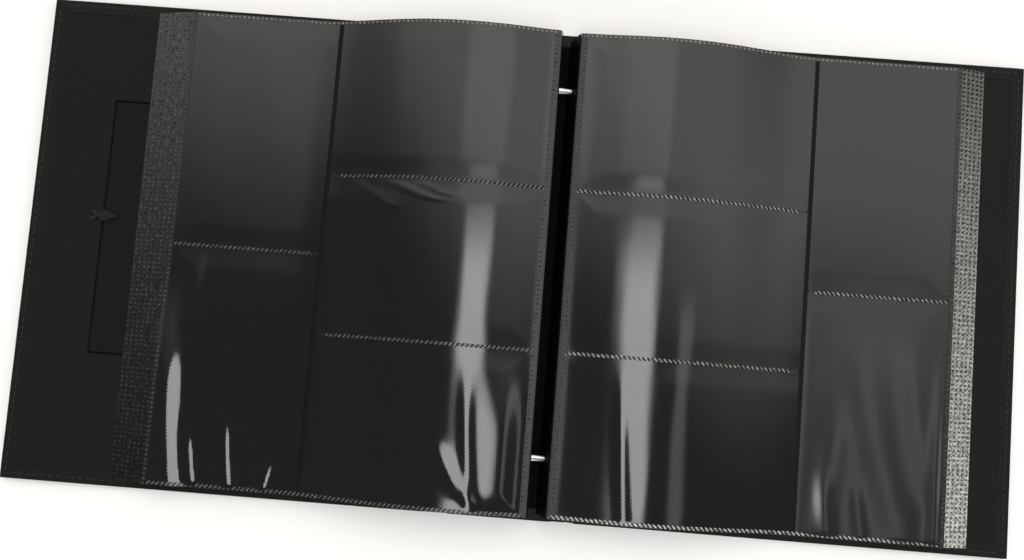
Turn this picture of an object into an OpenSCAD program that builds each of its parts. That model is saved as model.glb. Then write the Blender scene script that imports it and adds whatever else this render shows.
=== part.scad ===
// Photo album lying open: a soft-covered case, two binding posts and a stack of pocket leaves on each side.
// X runs across the open album, Y runs along the spine towards the top of the pages, Z is up.

/* [Case] */
// Height of the covers along the spine
cover_h = 331; // [300:1:360]
// How far each cover reaches past the reach of a leaf
fore_margin = 19; // [16:1:40]
// Thickness of the stiff boards
board_t = 2.6; // [2:0.1:3.4]
// Thickness of the outer skin
skin_t = 0.8; // [0.6:0.1:1.2]
// Thickness of the inner lining
liner_t = 0.6; // [0.4:0.1:1]
// Width of the skin that is turned in around the lining
turn_in = 9; // [6:0.5:14]
// Width of the stiff board in the spine
spine_w = 68; // [66:1:80]
// Soft gap between the spine board and each cover board
hinge_gap = 16.5; // [15:0.5:20]

/* [Cover window] */
// Width of the loose panel behind the window
panel_w = 133; // [120:1:150]
// Height of the loose panel behind the window
panel_h = 173; // [150:1:190]
// Border of the cover that shows around the panel inside the window
window_rim = 17; // [12:1:24]
// Distance from the fore edge of the cover to the panel
panel_in = 50.5; // [46:0.5:56]
// Gap around the loose panel
panel_gap = 1.2; // [0.5:0.1:1.5]
// Height of the panel's centre above the middle of the cover
panel_up = 9.5; // [0:0.5:14]
// Length of the turn button
button_l = 19.5; // [17:0.5:21]
// Width of the turn button's blade
button_w = 7.4; // [6.4:0.2:9]
// Thickness of the turn button
button_t = 1; // [0.8:0.1:1.4]

/* [Binding] */
// Distance from the ends of a leaf to the binding posts
post_in = 37; // [32:0.5:50]
// Radius of a post
post_r = 2.5; // [2:0.1:3]
// Radius of the flat head at each end of a post
post_head_r = 5; // [4:0.2:6]
// Height of the posts above the spine lining
post_up = 8.5; // [7:0.5:9]
// Thickness of the stiff binding strips
flap_t = 2; // [1.4:0.1:2.4]
// Gap on the posts between the left and right leaves
gutter_gap = 12; // [10:0.5:15]
// How far the foot of the top right strip leans into the gutter
strip_lean = 6; // [0:0.5:7]

/* [Leaves] */
// Height of a leaf along the spine
leaf_h = 321; // [304:1:325]
// Reach of the lowest right leaf from its crease to its outer edge
leaf_reach = 272; // [250:1:300]
// Reach that the left leaves lose to their higher bow
left_take = 0; // [0:0.5:10]
// Step between the outer edges of the left leaves, from the way they lie over each other
left_fan = 2.55; // [0:0.05:3]
// Step between the outer edges of the right leaves
right_fan = 2.2; // [0:0.05:3]
// Thickness of a leaf
leaf_t = 0.45; // [0.35:0.05:0.55]
// Step from one leaf to the next in the flat part of a stack
leaf_rise = 1.2; // [1.1:0.05:1.4]
// Step from one leaf to the next along the posts
strip_pitch = 1.2; // [1.1:0.05:1.3]
// Height of the swell of the left leaves beside the gutter
swell_left = 13; // [6:0.5:14]
// Height of the swell of the right leaves beside the gutter
swell_right = 10; // [5:0.5:11]
// Distance from the crease to the pockets beside the gutter
pocket_in = 5; // [3:0.5:8]
// Width of the right page's pockets beside the gutter
wide_pocket = 155; // [146:1:160]
// Width that the left page's pockets lose to their bow
pocket_take = 12; // [4:0.5:14]
// Width of the divider strip between the pockets
divider_w = 5; // [3:0.5:7]

/* [Hidden] */
left_count = 8;
right_count = 6;
cover_t = skin_t + board_t + liner_t;
axis_z = skin_t / 2;
hinge_x = spine_w / 2 + hinge_gap * 2 / 3;
board_x = spine_w / 2 + hinge_gap;
cover_reach = leaf_reach + fore_margin;
half_w = hinge_x + cover_reach;
// The inner face of a closed cover stands here
closed_x = hinge_x - (cover_t - axis_z);
head_t = 1.6;
head_x = closed_x - 0.6;
flap_x = head_x - head_t;
flap_h = 14;
post_z = cover_t + post_up;
post_pitch = leaf_h - 2 * post_in;
strip_t = 0.4;
strip_drop = 0.7;
// The crease of the top left leaf comes down by about its step when the covers close
top_drop = 3.4;
right_first = flap_x - flap_t - 0.7;
left_last = right_first - (right_count - 1) * strip_pitch - gutter_gap;
crease_step = 1.3;
crease_up = 14;
swell_end = 168;
film_t = 0.15;
film_low = leaf_t / 2 + 0.1;
outer_in = 1;
pocket_gap = 1;
button_r = button_w / 2;
// The button is a small disc on the rivet, a short neck and a blade that narrows to its tip
button_head_r = button_r - 0.5;
button_blade_x = button_head_r + button_r + 0.3;
button_tip_r = 0.9;
button_tip_x = button_l - button_head_r - button_tip_r;
button_z = cover_t + 0.2;
rivet_r = 1.5;
rivet_x = -half_w + panel_in - 7.2;
rivet_y = panel_up + 6.7;
panel_x = -half_w + panel_in + panel_w / 2;
eps = 0.01;
$fn = 48;

// Crease of leaf k on each side, counted from the cover up
function left_x(k) = left_last - (left_count - k) * strip_pitch;
function right_x(k) = right_first - (k - 1) * strip_pitch;
function crease_z(k) = cover_t + crease_up + k * crease_step;
function flat_z(k) = cover_t + 0.6 + (k - 1) * leaf_rise;

function left_reach(k) = leaf_reach - left_take - (k - 1) * left_fan;
function right_reach(k) = leaf_reach - (k - 1) * right_fan;

// Height of leaf k at the distance u from its crease
function leaf_z(k, u, swell) =
  let (t = min(u / swell_end, 1), low = flat_z(k))
  low + (crease_z(k) - low) * (1 - t) * (1 - t) * (1 + 2 * t) + swell * 16 * t * t * (1 - t) * (1 - t);

// Stations across a leaf, close together where it bends
function stations(a, b) = concat([a], [for (u = [6 : 6 : swell_end]) if (u > a + 1 && u < b - 1) u], [b]);

// A sheet of leaf k from station a to station b, between two heights measured from its middle
module sheet(k, a, b, swell, under, over, length) {
  us = stations(a, b);
  rotate([90, 0, 0])
    linear_extrude(height = length, center = true)
      polygon(concat(
        [for (u = us) [u, leaf_z(k, u, swell) + under]],
        [for (i = [len(us) - 1 : -1 : 0]) [us[i], leaf_z(k, us[i], swell) + over]]));
}

module slab(x0, x1, y0, y1, z0, z1) {
  translate([x0, y0, z0]) cube([x1 - x0, y1 - y0, z1 - z0]);
}

// A rod along X
module rod(x0, x1, y, z, r) {
  translate([x0, y, z]) rotate([0, 90, 0]) cylinder(h = x1 - x0, r = r);
}

module on_posts() {
  for (y = [-post_pitch / 2, post_pitch / 2]) translate([0, y, 0]) children();
}

module spine_board() {
  color("#8a7355")
    slab(-spine_w / 2, spine_w / 2, -cover_h / 2 + skin_t, cover_h / 2 - skin_t, skin_t, skin_t + board_t);
}

module spine_skin() {
  color("#1d1b1a")
    difference() {
      union() {
        slab(-hinge_x + 0.7, hinge_x - 0.7, -cover_h / 2, cover_h / 2, 0, skin_t);
        slab(-spine_w / 2, spine_w / 2, -cover_h / 2, cover_h / 2, 0, cover_t);
      }
      slab(-spine_w / 2 - eps, spine_w / 2 + eps, -cover_h / 2 + skin_t, cover_h / 2 - skin_t,
        skin_t, skin_t + board_t);
      slab(-spine_w / 2 - eps, spine_w / 2 + eps, -leaf_h / 2 + 3, leaf_h / 2 - 3, skin_t, cover_t + 1);
    }
}

module spine_liner() {
  color("#242221")
    slab(-spine_w / 2, spine_w / 2, -leaf_h / 2 + 3, leaf_h / 2 - 3, skin_t + board_t, cover_t);
}

module flap(x) {
  difference() {
    slab(x, x + flap_t, -leaf_h / 2 + 3, leaf_h / 2 - 3, cover_t, cover_t + flap_h);
    on_posts() rod(x - 1, x + flap_t + 1, 0, post_z, post_r + 0.05);
  }
}

module front_flap() {
  color("#201e1d") flap(-flap_x);
}

module back_flap() {
  color("#201e1d") flap(flap_x - flap_t);
}

module posts() {
  color("#c9cbcd")
    on_posts()
      difference() {
        union() {
          rod(-head_x, -flap_x, 0, post_z, post_head_r);
          rod(-flap_x, flap_x - 0.2, 0, post_z, post_r);
        }
        rod(0, flap_x, 0, post_z, post_r - 0.9);
      }
}

module screw(y) {
  color("#c9cbcd")
    translate([0, y, 0])
      difference() {
        union() {
          rod(flap_x + 0.1, head_x, 0, post_z, post_head_r);
          rod(4, flap_x + 0.2, 0, post_z, post_r - 0.95);
        }
        slab(head_x - 0.7, head_x + 1, -post_head_r - 1, post_head_r + 1, post_z - 0.6, post_z + 0.6);
      }
}

module post_screw_top() {
  screw(post_pitch / 2);
}

module post_screw_bottom() {
  screw(-post_pitch / 2);
}

// The punched strip of leaf k ends a little below its crease, and may lean back towards the gutter
module strip(k, x, lean, drop) {
  top = crease_z(k) - drop;
  difference() {
    rotate([90, 0, 0])
      linear_extrude(height = leaf_h, center = true)
        polygon([[x - lean - strip_t / 2, cover_t], [x - lean + strip_t / 2, cover_t],
          [x + strip_t / 2, top], [x - strip_t / 2, top]]);
    on_posts() rod(x - lean - 2, x + 2, 0, post_z, post_r + 0.6);
    slab(x - lean - 2, x + 2, -leaf_h / 2 - 1, -leaf_h / 2 + 3, cover_t - 1, cover_t + 1);
    slab(x - lean - 2, x + 2, leaf_h / 2 - 3, leaf_h / 2 + 1, cover_t - 1, cover_t + 1);
  }
}

module left_strips() {
  color("#19191a")
    for (k = [1 : left_count]) strip(k, left_x(k), 0, k == left_count ? top_drop : strip_drop);
}

module right_strips() {
  color("#19191a")
    for (k = [1 : right_count]) strip(k, right_x(k), strip_lean * pow(k / right_count, 2), strip_drop);
}

module panel_hole(gap, z0, z1) {
  slab(panel_x - panel_w / 2 - gap, panel_x + panel_w / 2 + gap,
    panel_up - panel_h / 2 - gap, panel_up + panel_h / 2 + gap, z0, z1);
}

// A cover board lies from the hinge gap to just inside the skin's edge, drawn here on the right
module board() {
  slab(board_x, half_w - skin_t, -cover_h / 2 + skin_t, cover_h / 2 - skin_t, skin_t, skin_t + board_t);
}

module liner(grow) {
  slab(board_x + turn_in, half_w - turn_in, -cover_h / 2 + turn_in, cover_h / 2 - turn_in,
    skin_t + board_t, cover_t + grow);
}

module skin() {
  difference() {
    union() {
      slab(hinge_x + 0.7, half_w, -cover_h / 2, cover_h / 2, 0, skin_t);
      slab(board_x - skin_t, half_w, -cover_h / 2, cover_h / 2, 0, cover_t);
    }
    board();
    liner(1);
  }
}

module front_board() {
  color("#8a7355")
    difference() {
      mirror([1, 0, 0]) board();
      panel_hole(panel_gap, skin_t - 1, cover_t + 1);
      translate([rivet_x, rivet_y, skin_t + 0.6]) cylinder(h = 6, r = rivet_r);
    }
}

module front_skin() {
  color("#1d1b1a")
    difference() {
      mirror([1, 0, 0]) skin();
      panel_hole(-window_rim, -1, skin_t + 1);
    }
}

module front_liner() {
  color("#242221")
    difference() {
      mirror([1, 0, 0]) liner(0);
      panel_hole(panel_gap, skin_t, cover_t + 1);
      translate([rivet_x, rivet_y, 0]) cylinder(h = 8, r = rivet_r);
    }
}

module window_film() {
  color("#dfe6ea") panel_hole(-1.5, skin_t, skin_t + 0.4);
}

module window_panel() {
  color("#232120") panel_hole(0, skin_t + 0.4, cover_t - 0.1);
}

module button_rivet() {
  color("#c9cbcd")
    translate([rivet_x, rivet_y, 0]) {
      translate([0, 0, skin_t + 0.6]) cylinder(h = button_z + button_t + 0.1 - skin_t - 0.6, r = rivet_r);
      translate([0, 0, button_z + button_t + 0.1]) cylinder(h = 0.7, r1 = 2.7, r2 = 1.9);
      translate([0, 0, cover_t]) cylinder(h = 0.1, r = 2.9);
    }
}

module turn_button() {
  color("#3a3733")
    translate([rivet_x, rivet_y, button_z])
      difference() {
        linear_extrude(height = button_t)
          union() {
            circle(r = button_head_r);
            translate([0, -button_head_r / 2]) square([button_blade_x, button_head_r]);
            hull() {
              translate([button_blade_x, 0]) circle(r = button_r);
              translate([button_tip_x, 0]) circle(r = button_tip_r);
            }
          }
        translate([0, 0, -1]) cylinder(h = button_t + 2, r = rivet_r + 0.05);
      }
}

module back_board() {
  color("#8a7355") board();
}

module back_skin() {
  color("#1d1b1a") skin();
}

module back_liner() {
  color("#242221") liner(0);
}

module left_sheet(k, a, b, under, over, length) {
  translate([left_x(k), 0, 0]) mirror([1, 0, 0]) sheet(k, a, b, swell_left, under, over, length);
}

module right_sheet(k, a, b, under, over, length) {
  translate([right_x(k), 0, 0]) sheet(k, a, b, swell_right, under, over, length);
}

module left_leaf(k) {
  color("#2a2a2b") left_sheet(k, 0.6, left_reach(k), -leaf_t / 2, leaf_t / 2, leaf_h);
}

module right_leaf(k) {
  color("#2a2a2b") right_sheet(k, 0.6, right_reach(k), -leaf_t / 2, leaf_t / 2, leaf_h);
}

// Films of one page: three wide pockets beside the gutter and two tall ones outside the divider
module left_page_pockets() {
  third = leaf_h / 3;
  mid = pocket_in + wide_pocket - pocket_take;
  end = left_reach(left_count) - outer_in;
  color("#4b4c4e") {
    for (i = [-1 : 1])
      translate([0, i * third, 0])
        left_sheet(left_count, pocket_in, mid, film_low, film_low + film_t, third - pocket_gap);
    for (i = [-0.5, 0.5])
      translate([0, i * leaf_h / 2, 0])
        left_sheet(left_count, mid + divider_w, end, film_low, film_low + film_t, leaf_h / 2 - pocket_gap);
  }
}

module right_page_pockets() {
  third = leaf_h / 3;
  mid = pocket_in + wide_pocket;
  end = right_reach(right_count) - outer_in;
  color("#4b4c4e") {
    for (i = [-1 : 1])
      translate([0, i * third, 0])
        right_sheet(right_count, pocket_in, mid, film_low, film_low + film_t, third - pocket_gap);
    for (i = [-0.5, 0.5])
      translate([0, i * leaf_h / 2, 0])
        right_sheet(right_count, mid + divider_w, end, film_low, film_low + film_t, leaf_h / 2 - pocket_gap);
  }
}

spine_board();
spine_skin();
spine_liner();
front_flap();
back_flap();
posts();
post_screw_top();
post_screw_bottom();
left_strips();
right_strips();
front_board();
front_skin();
front_liner();
window_film();
window_panel();
button_rivet();
turn_button();
back_board();
back_skin();
back_liner();
left_leaf(1);  // left_leaf_1
left_leaf(2);  // left_leaf_2
left_leaf(3);  // left_leaf_3
left_leaf(4);  // left_leaf_4
left_leaf(5);  // left_leaf_5
left_leaf(6);  // left_leaf_6
left_leaf(7);  // left_leaf_7
left_leaf(8);  // left_leaf_8
left_page_pockets();
right_leaf(1);  // right_leaf_1
right_leaf(2);  // right_leaf_2
right_leaf(3);  // right_leaf_3
right_leaf(4);  // right_leaf_4
right_leaf(5);  // right_leaf_5
right_leaf(6);  // right_leaf_6
right_page_pockets();
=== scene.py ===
import math
import bmesh
import bpy
from mathutils import Matrix, Vector, noise


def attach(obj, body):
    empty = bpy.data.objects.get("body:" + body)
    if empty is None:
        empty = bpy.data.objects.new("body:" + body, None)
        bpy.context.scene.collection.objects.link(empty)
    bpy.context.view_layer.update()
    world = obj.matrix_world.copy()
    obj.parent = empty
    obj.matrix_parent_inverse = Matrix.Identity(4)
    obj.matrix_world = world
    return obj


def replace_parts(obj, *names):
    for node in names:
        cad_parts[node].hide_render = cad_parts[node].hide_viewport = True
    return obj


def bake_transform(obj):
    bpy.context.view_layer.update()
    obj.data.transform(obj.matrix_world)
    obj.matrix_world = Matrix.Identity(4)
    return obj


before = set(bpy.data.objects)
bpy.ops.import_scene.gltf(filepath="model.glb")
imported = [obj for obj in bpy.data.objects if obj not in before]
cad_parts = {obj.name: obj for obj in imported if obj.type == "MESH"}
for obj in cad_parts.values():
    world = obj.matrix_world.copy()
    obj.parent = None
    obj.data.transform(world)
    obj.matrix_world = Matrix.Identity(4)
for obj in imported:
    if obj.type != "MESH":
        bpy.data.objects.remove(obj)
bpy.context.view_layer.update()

MM = 0.001

# Sizes of the case in millimetres, the same as in the part's source
COVER_H = 331.0
COVER_T = 4.0
SKIN_T = 0.8
SPINE_HALF = 34.0
HINGE_GAP = 16.5
HINGE_X = SPINE_HALF + HINGE_GAP * 2 / 3
BOARD_X = SPINE_HALF + HINGE_GAP
FORE_MARGIN = 19.0

# Sizes of the leaves in millimetres, the same as in the part's source
LEAF_H = 321.0
LEAF_T = 0.45
LEAF_REACH = 272.0
LEAF_RISE = 1.2
STACK_UP = 0.6
STRIP_PITCH = 1.2
GUTTER_GAP = 12.0
CREASE_UP = 14.0
CREASE_STEP = 1.3
SWELL_END = 168.0
COUNT = {"left": 8, "right": 6}
FAN = {"left": 2.55, "right": 2.2}
SWELL = {"left": 13.0, "right": 10.0}
RIGHT_FIRST = 36.5
LEFT_LAST = RIGHT_FIRST - (COUNT["right"] - 1) * STRIP_PITCH - GUTTER_GAP
HALF_W = HINGE_X + LEAF_REACH + FORE_MARGIN

# Sizes of the pockets in millimetres, the same as in the part's source
POCKET_IN = 5.0
WIDE = {"left": 143.0, "right": 155.0}
DIVIDER = 5.0

# How the open pages depart from a plain leaf, in millimetres: the roll into the gutter on both sides,
# the bow beside the gutter and the curled near corner on the left
ROLL_DOWN = 0.45
ROLL_LONG = 6.0
BOW_UP = 1.2
BOW_AT = 30.0
BOW_WIDE = 26.0
CURL_UP = 3.5
CURL_FROM = -20.0
CURL_LONG = 152.0
CURL_LINE = (238, 240, 229)
CURL_WIDE = 17.0


# Shape of the leaves: u is the distance from the crease and y the place along the spine, in millimetres


def ease(t):
    """0 up to t = 0, 1 from t = 1, and a smooth change between them."""
    t = min(max(t, 0.0), 1.0)
    return t * t * (3 - 2 * t)


def bend(s, first, middle, last):
    """A smooth bend through three values, at s = 0, 0.5 and 1."""
    return first * (1 - s) * (1 - 2 * s) + middle * 4 * s * (1 - s) + last * s * (2 * s - 1)


def crease_x(side, k):
    """Where leaf k creases, counted from the cover up."""
    if side == "left":
        return LEFT_LAST - (COUNT[side] - k) * STRIP_PITCH
    return RIGHT_FIRST - (k - 1) * STRIP_PITCH


def reach(side, k):
    """Distance from the crease of leaf k to its outer edge."""
    return LEAF_REACH - (k - 1) * FAN[side]


def leaf_z(side, k, u):
    """Height of leaf k: from its crease down to the flat stack, with a swell beside the gutter."""
    t = min(max(u, 0.0) / SWELL_END, 1.0)
    crease = COVER_T + CREASE_UP + k * CREASE_STEP
    flat = COVER_T + STACK_UP + (k - 1) * LEAF_RISE
    return flat + (crease - flat) * (1 - ease(t)) + SWELL[side] * (4 * t * (1 - t)) ** 2


def corner_curl(u, y):
    """Rise of the near outer corner of the open left page, which curls up a little."""
    s = (CURL_FROM - y) / CURL_LONG
    return CURL_UP * ease(2 * s) * ease((u - bend(s, *CURL_LINE)) / CURL_WIDE + 0.5)


def on_leaf(side, k, u, y, lift):
    """A point of leaf k in metres, raised by lift from the middle of the leaf's thickness."""
    way = -1.0 if side == "left" else 1.0
    high = leaf_z(side, k, u) + lift
    if k == COUNT[side]:
        high -= ROLL_DOWN * max(0.0, 1 - u / ROLL_LONG) ** 2
        if side == "left":
            high += BOW_UP * math.exp(-((u - BOW_AT) / BOW_WIDE) ** 2) + corner_curl(u, y)
    return Vector((crease_x(side, k) + way * u, y, high)) * MM


# Materials


def colour(hexa):
    """Linear colour of an sRGB hex value."""
    out = []
    for i in (1, 3, 5):
        c = int(hexa[i:i + 2], 16) / 255
        out.append(c / 12.92 if c <= 0.04045 else ((c + 0.055) / 1.055) ** 2.4)
    return (*out, 1.0)


def node(tree, kind, values=None, links=None, **settings):
    """A new node with its settings, the values of its sockets and the links into them."""
    n = tree.nodes.new(kind)
    for key, value in settings.items():
        setattr(n, key, value)
    for key, value in (values or {}).items():
        n.inputs[key].default_value = value
    for key, socket in (links or {}).items():
        tree.links.new(socket, n.inputs[key])
    return n


def shader_of(m):
    return m.node_tree.nodes["Principled BSDF"]


def material(name, base, rough, **more):
    """A plain material; more gives other sockets of its shader, with _ for a space."""
    m = bpy.data.materials.new(name)
    m.use_nodes = True
    m.diffuse_color = colour(base)
    sockets = shader_of(m).inputs
    sockets["Base Color"].default_value = colour(base)
    sockets["Roughness"].default_value = rough
    for key, value in more.items():
        sockets[key.replace("_", " ")].default_value = value
    return m


# Distance between two lines of Blender's wave pattern at a scale of 1
WAVE = math.pi / 10


def crossed_lines(tree, pitch, angles):
    """Two sets of fine ridges across each other, as pressed into plastic by a textured roller."""
    place = node(tree, "ShaderNodeTexCoord").outputs["Object"]
    sets = []
    for angle in angles:
        turned = node(tree, "ShaderNodeMapping", {"Rotation": (0, 0, math.radians(angle))},
                      {"Vector": place})
        sets.append(node(tree, "ShaderNodeTexWave", {"Scale": WAVE / (pitch * MM)},
                         {"Vector": turned.outputs["Vector"]}))
    both = node(tree, "ShaderNodeMath", links={0: sets[0].outputs["Fac"], 1: sets[1].outputs["Fac"]},
                operation="MULTIPLY")
    return both.outputs[0]


def leatherette(name, base, rough, shine):
    """Coated cloth with a crossed grain, whose ridges catch a little more light than the hollows.

    The grain is drawn coarser than the real one so that it shows.
    """
    # Distance between the ridges and their height, in millimetres
    pitch, depth = 1.7, 0.1
    m = material(name, base, rough)
    tree = m.node_tree
    sockets = shader_of(m).inputs
    grain = crossed_lines(tree, pitch, (48, -42))
    gloss = node(tree, "ShaderNodeMapRange", {"To Min": 0.6 * shine, "To Max": 2.1 * shine},
                 {"Value": grain})
    bump = node(tree, "ShaderNodeBump", {"Strength": 0.7, "Distance": depth * MM}, {"Height": grain})
    tree.links.new(gloss.outputs["Result"], sockets["Specular IOR Level"])
    tree.links.new(bump.outputs["Normal"], sockets["Normal"])
    return m


def embossed(name, base, rough, pitch, depth):
    """Plastic with a crossed twill pressed into it, drawn coarser than the real one so that it shows."""
    m = material(name, base, rough)
    tree = m.node_tree
    twill = crossed_lines(tree, pitch, (40, -50))
    bump = node(tree, "ShaderNodeBump", {"Strength": 1.0, "Distance": depth * MM}, {"Height": twill})
    tree.links.new(bump.outputs["Normal"], shader_of(m).inputs["Normal"])
    return m


def weld(name, ground, dots, slant=0.0, press=-0.05, shine=(0.5, 0.0), speckle=0.0, fade=(1.0, 1.0)):
    """A row of pressed dots along a ribbon, whose UV is in millimetres.

    slant makes the dots slanting dashes, press is their height, and shine is the gloss beside and on them.
    speckle makes their tone uneven, and fade changes it from the near end of the page to the far end, which
    paints light along the page.
    """
    # Distance between the dots, their size, the blur of their rim and the grit's size, in millimetres
    pitch, size, blur, grit_size = 3.1, 1.6, 0.128, 1.3
    m = material(name, ground, 0.25)
    tree = m.node_tree
    sockets = shader_of(m).inputs
    spot = node(tree, "ShaderNodeTexCoord")
    split = node(tree, "ShaderNodeSeparateXYZ", links={"Vector": spot.outputs["UV"]})
    lean = node(tree, "ShaderNodeMath", {1: slant}, {0: split.outputs["Y"], 2: split.outputs["X"]},
                operation="MULTIPLY_ADD")
    step = node(tree, "ShaderNodeMath", {1: pitch}, {0: lean.outputs[0]}, operation="DIVIDE")
    part = node(tree, "ShaderNodeMath", links={0: step.outputs[0]}, operation="FRACT")
    mid = node(tree, "ShaderNodeMath", {1: 0.5}, {0: part.outputs[0]}, operation="SUBTRACT")
    along = node(tree, "ShaderNodeMath", {1: pitch}, {0: mid.outputs[0]}, operation="MULTIPLY")
    across = node(tree, "ShaderNodeMath", {1: 1.0 / (1.0 + slant)}, {0: split.outputs["Y"]},
                  operation="MULTIPLY")
    flat = node(tree, "ShaderNodeCombineXYZ", links={"X": along.outputs[0], "Y": across.outputs[0]})
    far = node(tree, "ShaderNodeVectorMath", links={0: flat.outputs[0]}, operation="LENGTH")
    inside = node(tree, "ShaderNodeMapRange", {"From Min": size / 2 + blur, "From Max": size / 2 - blur},
                  {"Value": far.outputs["Value"]}, interpolation_type="SMOOTHSTEP")
    # Painted light: the tone changes from the near end of the page to the far end
    ends = node(tree, "ShaderNodeMapRange", {"From Min": -LEAF_H / 2, "From Max": LEAF_H / 2,
                                             "To Min": fade[0], "To Max": fade[1]},
                {"Value": split.outputs["X"]})
    grit = node(tree, "ShaderNodeTexNoise", {"Scale": 1 / (grit_size * MM), "Detail": 1.0},
                {"Vector": spot.outputs["Object"]})
    uneven = node(tree, "ShaderNodeMapRange", {"From Min": 0.35, "From Max": 0.65,
                                               "To Min": 1 - speckle, "To Max": 1 + speckle},
                  {"Value": grit.outputs["Fac"]})
    tone = node(tree, "ShaderNodeMath", links={0: ends.outputs["Result"], 1: uneven.outputs["Result"]},
                operation="MULTIPLY")
    mix = node(tree, "ShaderNodeMix", {"A": colour(ground), "B": colour(dots)},
               {"Factor": inside.outputs["Result"]}, data_type="RGBA")
    worn = node(tree, "ShaderNodeVectorMath", links={0: mix.outputs["Result"], "Scale": tone.outputs[0]},
                operation="SCALE")
    gloss = node(tree, "ShaderNodeMapRange", {"To Min": shine[0], "To Max": shine[1]},
                 {"Value": inside.outputs["Result"]})
    bump = node(tree, "ShaderNodeBump", {"Strength": 1.0, "Distance": press * MM},
                {"Height": inside.outputs["Result"]})
    tree.links.new(worn.outputs["Vector"], sockets["Base Color"])
    tree.links.new(gloss.outputs["Result"], sockets["Specular IOR Level"])
    tree.links.new(bump.outputs["Normal"], sockets["Normal"])
    return m


# Coated cloth on the outside: near black, with a dull sheen on its grain
SKIN = leatherette("skin leatherette", "#131210", 0.55, 0.14)
# The same cloth inside the covers, a little duller
LINING = leatherette("lining leatherette", "#121110", 0.6, 0.13)
# The lining deep in the gutter, which shows as plain black: the same cloth, painted darker and duller as
# painted shade
SHADED_SPINE_LINING = leatherette("spine lining", "#0a0a09", 0.7, 0.03)
# The cloth over the window's panel, darker and duller than the lining around it
PANEL = leatherette("panel leatherette", "#0f0f0e", 0.65, 0.11)
# Pressed board inside the covers: dark and without gloss
BOARD = material("dark board", "#191715", 0.9)
# Film that lies on its black sheet: black with sharp highlights, broken up by the twill
FILM = embossed("clear film on black", "#151618", 0.07, 1.6, 0.01)
# A loose film stands off its black sheet, with softer highlights; its lighter, milkier base is painted soft
# reflection
LOOSE_FILM = embossed("loose film on black", "#1e1f22", 0.17, 1.6, 0.01)
# Rolled plastic sheet: black with a soft satin shine
SHEET = embossed("black sheet", "#0e0e0f", 0.35, 1.1, 0.006)
# Matt plastic strip on the posts: nearly no shine, so the gutter stays black
STRIP = material("black strip", "#080808", 0.5, Specular_IOR_Level=0.04)
# Welds between the pockets: slanting dashes, raised a little, that show as grey dots on black
SEAM = {"left": weld("left seam weld", "#0f0f0f", "#454441", 0.8, 0.08, (0.1, 0.5), 0.6),
        "right": weld("right seam weld", "#0d0d0d", "#686763", 0.8, 0.08, (0.1, 0.6), 0.8)}
# The same dashes along the near edge of a page: a dotted grey line; the paler tone on the right page is
# painted light
NEAR_EDGE = {"left": weld("left near edge weld", "#131313", "#4b4a48", 0.8, 0.08, (0.2, 0.5), 0.6),
             "right": weld("right near edge weld", "#1c1c1c", "#8f8e8a", 0.8, 0.08, (0.2, 0.6), 0.7)}
# Round dots pressed in along the far edge: grey and glossy
FAR_EDGE = weld("far edge weld", "#1a1a1a", "#63625f", shine=(0.5, 0.4), speckle=0.5)
# Round dots beside the gutter and along a page's outer edge: dim on dark film
GUTTER_EDGE = weld("gutter weld", "#161617", "#3a3a38", speckle=0.5)
# Outer edges of the leaves below: dull dots, darker towards the near end on the left and paler on the right.
# The pale grey ground on the right and these changes along the page are painted reflection of the lamps.
OUTER_EDGE_PAINTED_SHEEN = {"left": weld("left edge weld", "#1e1e1e", "#3f3e3c", speckle=0.8, fade=(0.3, 1.2)),
              "right": weld("right edge weld", "#7a7a76", "#444442", speckle=0.6, fade=(2.0, 0.26))}
# Cut edge of the plastic: a thin pale line around the page
FILM_EDGE = material("film edge", "#6f6e6b", 0.3)
# Matt plastic strip between the pockets: a black band without highlights
DIVIDER_BLACK = material("divider", "#0a0a0a", 0.6, Specular_IOR_Level=0.12)
# Plated steel: small bright points in the gutter
METAL = material("plated metal", "#d9dadb", 0.16, Metallic=1.0)
# Darkened steel: a soft glint on the button
RIVET = material("darkened rivet", "#33302c", 0.28, Metallic=1.0)
# Lacquered steel: brown black with a satin shine
BUTTON = material("lacquered button", "#1a1816", 0.35, Specular_IOR_Level=0.2)
# Twisted thread: a shade lighter than the cloth
THREAD = material("thread", "#2c2a27", 0.5, Specular_IOR_Level=0.2)
# The clear pane lies on the black panel, so it shows as gloss over black
WINDOW = material("clear film on panel", "#0d0e0f", 0.08, Specular_IOR_Level=0.4)
# Smooth painted table: nearly white and without gloss
FLOOR = material("pale floor", "#f4f4f3", 0.8)


# Building pieces

# Distance between the points of a ribbon in millimetres: across the page, where it swells, and along it
STEP_ACROSS = 2.0
STEP_ALONG = 8.0


def add_object(bm, name, mat):
    """The object made from a bmesh."""
    mesh = bpy.data.meshes.new(name)
    bm.to_mesh(mesh)
    bm.free()
    mesh.materials.append(mat)
    obj = bpy.data.objects.new(name, mesh)
    bpy.context.scene.collection.objects.link(obj)
    return obj


def finish_mesh(bm, name, mat, smooth=True):
    """Turns the faces outwards, shades them and makes the object."""
    bmesh.ops.recalc_face_normals(bm, faces=bm.faces)
    for f in bm.faces:
        f.smooth = smooth
    for e in bm.edges:
        if e.is_boundary:
            e.smooth = False
    return add_object(bm, name, mat)


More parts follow.
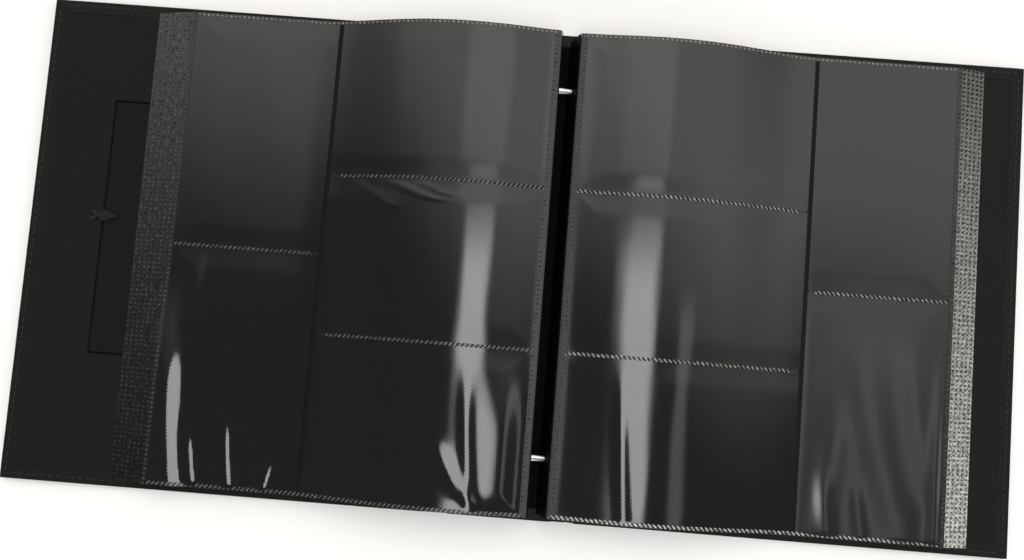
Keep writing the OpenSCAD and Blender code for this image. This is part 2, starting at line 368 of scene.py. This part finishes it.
def patch(name, mat, us, vs, place):
    """A sheet over the stations us and vs; place gives each point, and the stations are its UV."""
    bm = bmesh.new()
    layer = bm.loops.layers.uv.new("UVMap")
    bmesh.ops.create_grid(bm, x_segments=len(us) - 1, y_segments=len(vs) - 1, size=1.0)
    at = {}
    for v in bm.verts:
        i = round((v.co.x + 1) / 2 * (len(us) - 1))
        j = round((v.co.y + 1) / 2 * (len(vs) - 1))
        at[v] = (us[i], vs[j])
    for f in bm.faces:
        for loop in f.loops:
            loop[layer].uv = at[loop.vert]
    for v, (a, b) in at.items():
        v.co = place(a, b)
    return finish_mesh(bm, name, mat)


def thicken(obj, by):
    """Gives a sheet its thickness, below the side that it shows."""
    mod = obj.modifiers.new("thickness", "SOLIDIFY")
    mod.thickness = by * MM
    mod.offset = -1.0
    return obj


def spread(a, b, step):
    """Stations from a to b, about a step apart."""
    n = max(1, int(round((b - a) / step)))
    return [a + (b - a) * i / n for i in range(n + 1)]


def face_up(obj, face=1):
    """Turns a patch over if it came out on the wrong side; face -1 is the back of a leaf."""
    if sum(p.normal.z for p in obj.data.polygons) * face < 0:
        obj.data.flip_normals()
    return obj


def ribbon_across(name, mat, side, k, u0, u1, y, width, lift, face=1):
    """A ribbon that runs across a leaf, along the distance from its crease."""
    obj = patch(name, mat, spread(u0, u1, STEP_ACROSS), [-width / 2, width / 2],
                lambda u, v: on_leaf(side, k, u, y + v, face * lift))
    return face_up(obj, face)


def ribbon_along(name, mat, side, k, u, y0, y1, width, lift, face=1):
    """A ribbon that runs along a leaf, parallel to the spine."""
    obj = patch(name, mat, spread(y0, y1, STEP_ALONG), [-width / 2, width / 2],
                lambda y, v: on_leaf(side, k, u + v, y, face * lift))
    return face_up(obj, face)


def join(name, objs):
    """One object from several with the same material."""
    bm = bmesh.new()
    bm.loops.layers.uv.new("UVMap")
    mat = objs[0].data.materials[0]
    for o in objs:
        bm.from_mesh(o.data)
        bpy.data.objects.remove(o)
    return add_object(bm, name, mat)


# Case: the CAD solids get rounded edges, by a radius in millimetres, and their materials


def dress(name, mat, round_by=0.0):
    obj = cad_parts[name]
    obj.data.materials.clear()
    obj.data.materials.append(mat)
    if round_by:
        obj.modifiers.new("joined faces", "WELD").merge_threshold = 0.001 * MM
        mod = obj.modifiers.new("rounded edges", "BEVEL")
        mod.width = round_by * MM
        mod.segments = 3
        mod.limit_method = "ANGLE"


for name in ("spine_skin", "front_skin", "back_skin"):
    dress(name, SKIN, round_by=0.7)
for name in ("front_liner", "back_liner"):
    dress(name, LINING)
dress("spine_liner", SHADED_SPINE_LINING)
for name in ("front_flap", "back_flap"):
    dress(name, STRIP)
dress("window_panel", PANEL, round_by=0.9)
for name in ("spine_board", "front_board", "back_board"):
    dress(name, BOARD)
for name in ("posts", "post_screw_top", "post_screw_bottom"):
    dress(name, METAL, round_by=0.2)
dress("button_rivet", RIVET, round_by=0.2)
dress("turn_button", BUTTON, round_by=0.3)
for name in ("left_strips", "right_strips"):
    dress(name, STRIP)


def window_pane():
    """The clear film in the window, thinner than its CAD solid so that it lies clear of the panel."""
    corners = [Vector(c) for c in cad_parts["window_film"].bound_box]
    low, high = corners[0], corners[6]
    thick = 0.3 * MM
    size = Matrix.Diagonal((high.x - low.x, high.y - low.y, thick, 1.0))
    place = Matrix.Translation(((low.x + high.x) / 2, (low.y + high.y) / 2, low.z + thick / 2))
    bm = bmesh.new()
    bmesh.ops.create_cube(bm, size=1.0, matrix=place @ size)
    return finish_mesh(bm, "window_pane", WINDOW, smooth=False)


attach(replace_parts(window_pane(), "window_film"), "front_cover")


# Pockets and welds of a page

# Widths of the welds in millimetres, the distance of a weld's middle from the pockets, from the outer edge
# and from the page's ends, and thicknesses
SEAM_W = 2.2
GUTTER_W = 2.2
OUTER_W = 2.8
LOWER_OUTER_W = 3.2
END_W = 2.4
GUTTER_BACK = 1.4
OUTER_IN = 1.7
END_IN = 1.5
WELD_T = 0.05
LOWER_WELD_T = 0.03
DIVIDER_T = 0.02

# Gaps in millimetres: film to the middle of a seam, film to the outer edge, film over the divider's edges,
# divider to the page's ends and to the pockets, end welds to the crease and to the outer edge, seams to the
# mouths of the wide pockets, to the divider and to the outer edge
FILM_GAP = 0.6
FILM_OUTER = 3.4
FILM_LAP = 1.0
DIVIDER_SHORT = 0.3
DIVIDER_SLACK = 0.2
END_INNER = 2.0
END_OUTER = 3.0
SEAM_MOUTH = 5.0
SEAM_INNER = 4.0
SEAM_OUTER = 4.0

# How a page lies, in millimetres: distance between the film's points, heights over the sheet and
# the film's thickness
OPEN = {"step": 1.1, "film": 0.14, "divider": 0.06, "weld": 0.22, "film_t": 0.1}
STACKED = {"step": 3.0, "film": 0.04, "divider": 0.02, "weld": 0.06, "film_t": 0.03}

# Waves of the film, in millimetres: heights of the broad and the fine ones on an open page and of the ones
# inside the stack, and lengths across and along the page. They rise over the free distance from a weld.
BROAD_WAVE = 0.34
FINE_WAVE = 0.08
STACKED_WAVE = 0.05
BROAD_LONG = (30.0, 80.0)
FINE_LONG = (10.0, 45.0)
WAVE_FREE = 16.0
STACKED_FREE = 5.0

# A fold broader than this starts as far from the welded edges as the waves, a narrow one closer to them
BROAD_FOLD = 15.0
NARROW_FREE = 4.0
# Share of its length over which a fold rises from its far end and falls off to its near end
FOLD_RISE = 0.5
FOLD_FALL = 0.12

# Folds in the loose film, in millimetres: side, far and near end along the spine, distance from the crease
# at the far end, the middle and the near end, height and width
FOLDS = [
    ("left", 54, 32, (136, 120, 102), 0.17, 7.0),
    ("left", 54, 38, (110, 94, 72), 0.17, 8.0),
    ("left", 54, 42, (90, 80, 66), 0.11, 6.0),
    ("left", -50, -176, (14, 14, 14), 1.4, 20.0),
    ("left", -108, -156, (66, 54, 36), 0.60, 6.5),
    ("left", -54, -174, (46, 42, 35), 0.5, 4.4),
    ("left", -4, -58, (229, 232, 235), 0.6, 3.2),
    ("left", -104, -172, (230, 227, 220), 1.15, 3.6),
    ("left", -92, -170, (206, 203, 197), 1.0, 3.2),
    ("left", -130, -168, (170, 174, 178), 0.7, 2.6),
    ("right", -54, -174, (42, 45.5, 51), 0.5, 4.2),
    ("right", 6, -170, (200, 211, 240), 0.7, 13.0),
    ("right", 0, -140, (234, 241, 252), 0.65, 10.0),
    ("right", -50, -172, (188, 185, 177), 0.65, 10.0),
    ("right", -108, -172, (180, 182, 189), 0.55, 5.0),
    ("right", -112, -172, (201, 204, 210), 0.4, 4.6),
    ("right", -20, -176, (256, 255, 255), 1.1, 6.0),
]


def fold_lift(side, u, y, edge):
    """Height of the folds at a place that is a distance of edge from the nearest welded edge."""
    total = 0.0
    for where, far, near, line, high, wide in FOLDS:
        s = (far - y) / (far - near)
        if where != side or s < 0 or s > 1:
            continue
        off = u - bend(s, *line)
        if abs(off) < 3 * wide:
            along = ease(s / FOLD_RISE) * min(1.0, (1 - s) / FOLD_FALL)
            free = ease(edge / (WAVE_FREE if wide > BROAD_FOLD else NARROW_FREE))
            total += high * along * free * math.exp(-(off / wide) ** 2)
    return total


def waves(u, y, long, seed, layer=0.0):
    """Uneven waves from 0 to 1 with their lengths across and along the page; the seed moves them about."""
    return 0.5 + 0.5 * noise.noise(Vector((u / long[0] + seed, y / long[1], layer + seed)))


def pocket(side, k, face, lay, name, mat, u0, u1, y0, y1, inner, seed):
    """A film pocket; on an open page it is loose and folded, inside the stack it lies nearly flat.

    inner says that it is welded on the side of the gutter, and otherwise it is welded along the outer edge.
    """

    def place(u, y):
        edge = min(u - u0 if inner else u1 - u, y - y0, y1 - y)
        broad = waves(u, y, BROAD_LONG, seed)
        if lay is OPEN:
            fine = waves(u, y, FINE_LONG, seed, layer=3.0)
            wave = BROAD_WAVE * broad + FINE_WAVE * fine
            rise = ease(edge / WAVE_FREE) * wave + fold_lift(side, u, y, edge)
        else:
            rise = STACKED_WAVE * ease(edge / STACKED_FREE) * broad
        return on_leaf(side, k, u, y, face * (LEAF_T / 2 + lay["film"] + rise))

    obj = patch(name, mat, spread(u0, u1, lay["step"]), spread(y0, y1, lay["step"]), place)
    return thicken(face_up(obj, face), lay["film_t"])


def page_face(side, k, face, lay, label):
    """The three wide and two tall pockets on one face of a leaf, with the divider and the welds."""
    body = f"{side}_{k}"
    half, third = LEAF_H / 2, LEAF_H / 3
    mid = POCKET_IN + WIDE[side]
    end = reach(side, k)
    lift = LEAF_T / 2 + lay["weld"]

    def across(name, mat, u0, u1, y, width):
        return ribbon_across(name, mat, side, k, u0, u1, y, width, lift, face)

    def along(name, mat, u, width):
        return ribbon_along(name, mat, side, k, u, -half, half, width, lift, face)

    # Each pocket of a page has its own seed, which also differs between the sides, so the waves don't repeat
    seed = 1.0 if side == "left" else 9.0
    films = []
    for i in range(3):
        y0 = -half + i * third
        films.append(pocket(side, k, face, lay, f"{label}_wide_pocket_{i + 1}", FILM,
                            POCKET_IN, mid + FILM_LAP, y0 + FILM_GAP, y0 + third - FILM_GAP,
                            True, 3.7 * i + seed))
    for i in range(2):
        y0 = -half + i * half
        # The near tall pocket of the right page is loose film, whose lighter base is painted soft reflection
        mat = LOOSE_FILM if side == "right" and i == 0 else FILM
        films.append(pocket(side, k, face, lay, f"{label}_tall_pocket_{i + 1}", mat,
                            mid + DIVIDER - FILM_LAP, end - FILM_OUTER, y0 + FILM_GAP, y0 + half - FILM_GAP,
                            False, 5.3 * i + seed + 20))
    for film in films:
        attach(film, body)

    bar = ribbon_along(f"{label}_divider", DIVIDER_BLACK, side, k, mid + DIVIDER / 2, -half + DIVIDER_SHORT,
                       half - DIVIDER_SHORT, DIVIDER - 2 * DIVIDER_SLACK, LEAF_T / 2 + lay["divider"], face)
    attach(thicken(bar, DIVIDER_T), body)

    seams = []
    for y in (-third / 2, third / 2):
        seams.append(across("seam", SEAM[side], POCKET_IN, mid - SEAM_MOUTH, y, SEAM_W))
    seams.append(across("seam", SEAM[side], mid + DIVIDER + SEAM_INNER, end - SEAM_OUTER, 0.0, SEAM_W))
    edges = [along("edge", GUTTER_EDGE, POCKET_IN - GUTTER_BACK, GUTTER_W)]
    # The leaf below the open page already has a weld along its outer edge
    if lay is OPEN or face < 0:
        edges.append(along("edge", GUTTER_EDGE, end - OUTER_IN, OUTER_W))
    far = across(f"{label}_far_weld", FAR_EDGE, END_INNER, end - END_OUTER, half - END_IN, END_W)
    near = across(f"{label}_near_weld", NEAR_EDGE[side], END_INNER, end - END_OUTER, -half + END_IN, END_W)
    for obj in (join(f"{label}_seam_welds", seams), join(f"{label}_edge_welds", edges), far, near):
        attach(thicken(obj, WELD_T), body)
    return films


# Points across an open page's sheet, in millimetres: close ones at the roll into the gutter, then even ones
ROLL_POINTS = [0.6, 1.2, 2.0, 3.0, 4.0]
EVEN_FROM = 5.0
EVEN_STEP = 3.0


def page_sheet(side, k):
    """The sheet of an open page, with a pale cut edge."""
    us = ROLL_POINTS + spread(EVEN_FROM, reach(side, k), EVEN_STEP)
    ys = spread(-LEAF_H / 2, LEAF_H / 2, STEP_ALONG)
    obj = patch(f"{side}_page_sheet", SHEET, us, ys, lambda u, y: on_leaf(side, k, u, y, LEAF_T / 2))
    thicken(face_up(obj), LEAF_T)
    obj.data.materials.append(FILM_EDGE)
    obj.modifiers["thickness"].material_offset_rim = 1
    return obj


# Leaves under the top ones keep their CAD solids and get a dotted weld along the outer edge
for side, count in COUNT.items():
    for k in range(1, count):
        dress(f"{side}_leaf_{k}", SHEET)
        # The weld's grey tone, changing along the page, is painted reflection
        strip = ribbon_along(f"{side}_edge_weld_{k}", OUTER_EDGE_PAINTED_SHEEN[side], side, k, reach(side, k) - OUTER_IN,
                             -LEAF_H / 2, LEAF_H / 2, LOWER_OUTER_W, LEAF_T / 2 + LOWER_WELD_T)
        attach(thicken(strip, LOWER_WELD_T), f"{side}_{k}")

# The two open pages take the place of the top CAD leaves
for side, k in COUNT.items():
    sheet = page_sheet(side, k)
    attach(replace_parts(sheet, f"{side}_leaf_{k}"), f"{side}_{k}")
    films = page_face(side, k, 1, OPEN, f"{side}_page")
    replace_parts(films[0], f"{side}_page_pockets")

# The pages that show when the top left leaf is turned: its back, and the face of the leaf under it
page_face("left", COUNT["left"], -1, STACKED, "turned_page")
page_face("left", COUNT["left"] - 1, 1, STACKED, "next_page")


# Soft hinges: one strip of skin from the spine to each cover

# Upper side of the strip as x and z in millimetres: off the spine's board, into the gap, onto the cover
HINGE_TOP = [
    (SPINE_HALF - 0.6, 4.03),
    (SPINE_HALF + 1.2, 3.6),
    (SPINE_HALF + 4.0, 2.2),
    (HINGE_X - 3.5, 1.35),
    (HINGE_X, 1.15),
    (HINGE_X + 2.6, 1.5),
    (BOARD_X - 0.9, 3.3),
    (BOARD_X + 0.3, 3.95),
    (BOARD_X + 1.6, 4.03),
]
# How far the strip stays inside the covers' ends, half the width over which it bends, and the distance
# between its points along the spine, in millimetres; each stretch of its outline has a few parts
HINGE_SHORT = 0.4
HINGE_STEP = 12.0
HINGE_PARTS = 3


def soft_hinge(name, way):
    ys = spread(-COVER_H / 2 + HINGE_SHORT, COVER_H / 2 - HINGE_SHORT, HINGE_STEP)
    fine = []
    for (xa, za), (xb, zb) in zip(HINGE_TOP, HINGE_TOP[1:]):
        for i in range(HINGE_PARTS):
            fine.append((xa + (xb - xa) * i / HINGE_PARTS, za + (zb - za) * i / HINGE_PARTS))
    fine.append(HINGE_TOP[-1])
    obj = patch(name, SKIN, range(len(fine)), ys,
                lambda i, y: Vector((way * fine[i][0], y, fine[i][1])) * MM)
    thicken(face_up(obj), SKIN_T)
    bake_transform(obj)


soft_hinge("front_soft_hinge", -1.0)
soft_hinge("back_soft_hinge", 1.0)


# Stitching around the inside of each cover

# Distance of the stitches from the edges and from each other, their length, width, thickness, rounding
# and height of their middle over the cover, in millimetres
STITCH_IN = 3.6
STITCH_PITCH = 5.0
STITCH_L = 2.6
STITCH_W = 0.55
STITCH_T = 0.3
STITCH_ROUND = 0.1
STITCH_UP = 0.05


def stitches(name, way, body):
    bm = bmesh.new()
    bar = Matrix.Diagonal((STITCH_L * MM, STITCH_W * MM, STITCH_T * MM, 1.0))
    x0, x1 = BOARD_X + STITCH_IN, HALF_W - STITCH_IN
    y0, y1 = -COVER_H / 2 + STITCH_IN, COVER_H / 2 - STITCH_IN
    for start, end in (((x0, y0), (x1, y0)), ((x1, y0), (x1, y1)), ((x1, y1), (x0, y1))):
        run = Vector(end) - Vector(start)
        turn = Matrix.Rotation(math.atan2(run.y, way * run.x), 4, "Z")
        for i in range(int(run.length / STITCH_PITCH)):
            x, y = Vector(start) + run.normalized() * (i + 0.5) * STITCH_PITCH
            place = Matrix.Translation(Vector((way * x, y, COVER_T + STITCH_UP)) * MM)
            bmesh.ops.create_cube(bm, size=1.0, matrix=place @ turn @ bar)
    bmesh.ops.bevel(bm, geom=bm.edges[:], offset=STITCH_ROUND * MM, offset_type="OFFSET", segments=1,
                    profile=0.5, affect="EDGES", material=-1)
    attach(finish_mesh(bm, name, THREAD), body)


stitches("front_stitching", -1.0, "front_cover")
stitches("back_stitching", 1.0, "back_cover")


# Stage: pale floor, soft lamps, the room around them and the camera, with places and sizes in metres

FLOOR_HALF = 6.0
FLOOR_DROP = 0.0005
LAMP_Z = 1.6


def pale_floor():
    bm = bmesh.new()
    bmesh.ops.create_grid(bm, x_segments=1, y_segments=1, size=FLOOR_HALF)
    floor = finish_mesh(bm, "floor", FLOOR, smooth=False)
    floor.location.z = -FLOOR_DROP


def softbox(name, x, y, wide, long, watts):
    """A flat soft lamp that shines straight down."""
    light = bpy.data.lights.new(name, "AREA")
    light.shape = "RECTANGLE"
    light.size = wide
    light.size_y = long
    light.energy = watts
    obj = bpy.data.objects.new(name, light)
    bpy.context.scene.collection.objects.link(obj)
    obj.location = (x, y, LAMP_Z)


def room_light():
    """A room that is bright near the floor, dim overhead and brighter again above the far right."""
    world = bpy.data.worlds.new("room")
    bpy.context.scene.world = world
    world.use_nodes = True
    tree = world.node_tree
    # Z of a direction is 0 at the horizon and 1 straight up
    way = node(tree, "ShaderNodeTexCoord").outputs["Generated"]
    split = node(tree, "ShaderNodeSeparateXYZ", links={"Vector": way})
    low = node(tree, "ShaderNodeMapRange",
               {"From Min": 0.3, "From Max": 0.7, "To Min": 1.65, "To Max": 0.14},
               {"Value": split.outputs["Z"]}, interpolation_type="SMOOTHSTEP")
    far = node(tree, "ShaderNodeMath", {1: 0.18}, {0: split.outputs["X"], 2: split.outputs["Y"]},
               operation="MULTIPLY_ADD")
    beyond = node(tree, "ShaderNodeMapRange",
                  {"From Min": 0.005, "From Max": 0.3, "To Min": 0.0, "To Max": 1.65},
                  {"Value": far.outputs[0]}, interpolation_type="SMOOTHSTEP")
    above = node(tree, "ShaderNodeMapRange",
                 {"From Min": 0.5, "From Max": 0.8, "To Min": 0.0, "To Max": 1.0},
                 {"Value": split.outputs["Z"]}, interpolation_type="SMOOTHSTEP")
    glow = node(tree, "ShaderNodeMath",
                links={0: beyond.outputs["Result"], 1: above.outputs["Result"], 2: low.outputs["Result"]},
                operation="MULTIPLY_ADD")
    tint = node(tree, "ShaderNodeMix", {"A": colour("#ffffff"), "B": colour("#fff8f0")},
                {"Factor": above.outputs["Result"]}, data_type="RGBA")
    tree.links.new(glow.outputs[0], tree.nodes["Background"].inputs["Strength"])
    tree.links.new(tint.outputs["Result"], tree.nodes["Background"].inputs["Color"])


def photo_camera():
    """The photograph's viewpoint, fitted to the four corners of the open covers."""
    lens = bpy.data.cameras.new("camera")
    lens.sensor_width = 36.0
    lens.lens = 35.16
    camera = bpy.data.objects.new("camera", lens)
    bpy.context.scene.collection.objects.link(camera)
    camera.location = (0.0100, -0.0643, 0.6795)
    camera.rotation_euler = [math.radians(a) for a in (4.95, 0.734, 4.472)]
    bpy.context.scene.camera = camera


pale_floor()
# The lamps are placed so that the pages mirror them where the photograph has its highlights
softbox("overhead strip", 0.14, -0.435, 0.35, 1.23, 9.65)
# The strip's far end fades out in two short steps
softbox("strip end", 0.14, 0.215, 0.35, 0.07, 0.33)
softbox("strip tip", 0.14, 0.285, 0.35, 0.07, 0.12)
softbox("second strip", 0.78, -0.3, 0.2, 0.8, 0.65)
softbox("far fill", 0.12, 0.8, 0.55, 0.9, 0.9)
room_light()
photo_camera()
bpy.context.scene.view_settings.view_transform = "Standard"
